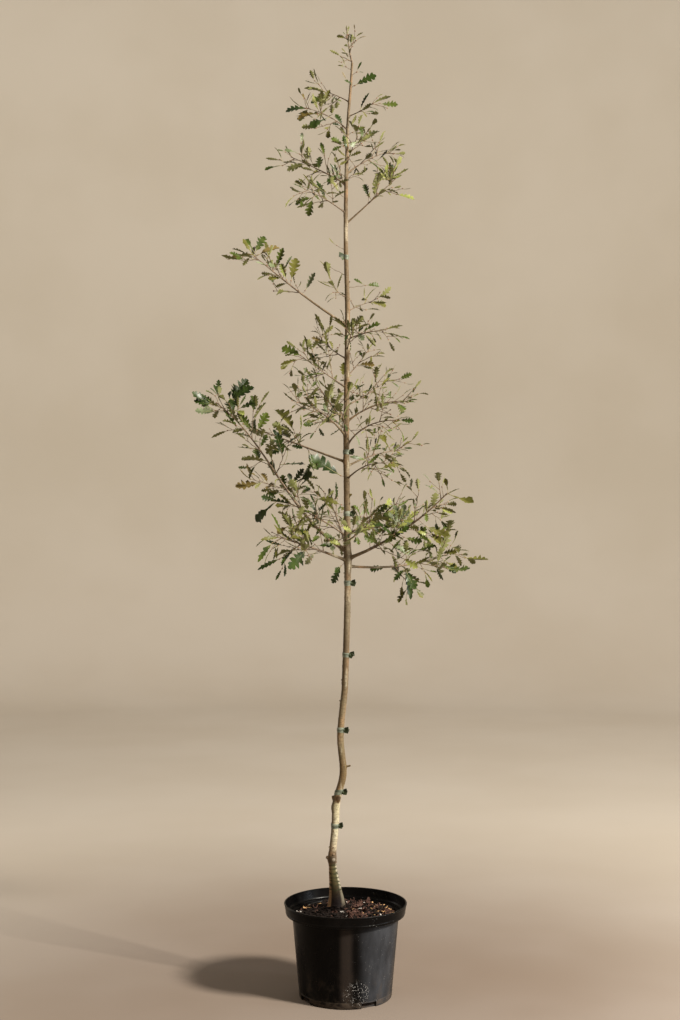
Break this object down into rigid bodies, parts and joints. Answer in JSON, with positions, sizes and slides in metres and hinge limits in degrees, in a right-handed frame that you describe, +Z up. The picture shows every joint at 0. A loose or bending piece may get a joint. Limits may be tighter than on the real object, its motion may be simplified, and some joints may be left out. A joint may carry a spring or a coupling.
{
  "type": "potted oak sapling",
  "caption": "Young narrow-leaved oak in a round black nursery pot: slender bent trunk, bare below, with open tiers of leafy boughs above and soft tape ties on the stem.",
  "frame": {"origin": "middle of the pot's flat underside, on the floor", "axes": "+Z up along the trunk, +X to the right and +Y away in the view that shows the long left boughs on the left"},
  "size_m": [0.6799, 0.4161, 2.2118],
  "materials": {
    "black_plastic": "satin black moulded plastic, dusty and scuffed near the foot",
    "compost": "dark bark compost with red-brown chips",
    "bark": "smooth young bark, olive and grey low down, warm brown above",
    "foliage": "narrow lobed leaves, dull green with grey-green undersides",
    "green_tape": "soft dark green tying tape"
  },
  "bodies": {
    "root": {"bough_back_low": "bark", "bough_left_crown_mid": "bark", "bough_left_high": "bark", "bough_left_long": "bark", "bough_left_low": "bark", "bough_left_mid": "bark", "bough_left_mid_up": "bark", "bough_right_crown_low": "bark", "bough_right_crown_mid": "bark", "bough_right_high_mid": "bark", "bough_right_low": "bark", "bough_right_mid": "bark", "bough_right_under": "bark", "leaves_back_crown": "foliage", "leaves_back_low": "foliage", "leaves_back_mid": "foliage", "leaves_front_crown": "foliage", "leaves_front_low": "foliage", "leaves_front_mid": "foliage", "leaves_front_upper": "foliage", "leaves_leader": "foliage", "leaves_left_bushy": "foliage", "leaves_left_crown_high": "foliage", "leaves_left_crown_low": "foliage", "leaves_left_crown_mid": "foliage", "leaves_left_high": "foliage", "leaves_left_long": "foliage", "leaves_left_low": "foliage", "leaves_left_mid": "foliage", "leaves_left_mid_back": "foliage", "leaves_left_mid_up": "foliage", "leaves_left_small": "foliage", "leaves_left_top": "foliage", "leaves_left_upper_back": "foliage", "leaves_left_upper_mid": "foliage", "leaves_right_bushy": "foliage", "leaves_right_crown_low": "foliage", "leaves_right_crown_mid": "foliage", "leaves_right_high_mid": "foliage", "leaves_right_low": "foliage", "leaves_right_mid": "foliage", "leaves_right_mid_back": "foliage", "leaves_right_mid_low": "foliage", "leaves_right_mid_up": "foliage", "leaves_right_small": "foliage", "leaves_right_top": "foliage", "leaves_right_under": "foliage", "leaves_right_upper": "foliage", "leaves_right_upper_mid": "foliage", "pot": "black_plastic", "root_ball": "compost", "tie_1": "green_tape", "tie_2": "green_tape", "tie_3": "green_tape", "tie_4": "green_tape", "tie_5": "green_tape", "tie_6": "green_tape", "tie_7": "green_tape", "tie_8": "green_tape", "trunk": "bark"}
  },
  "joints": []
}
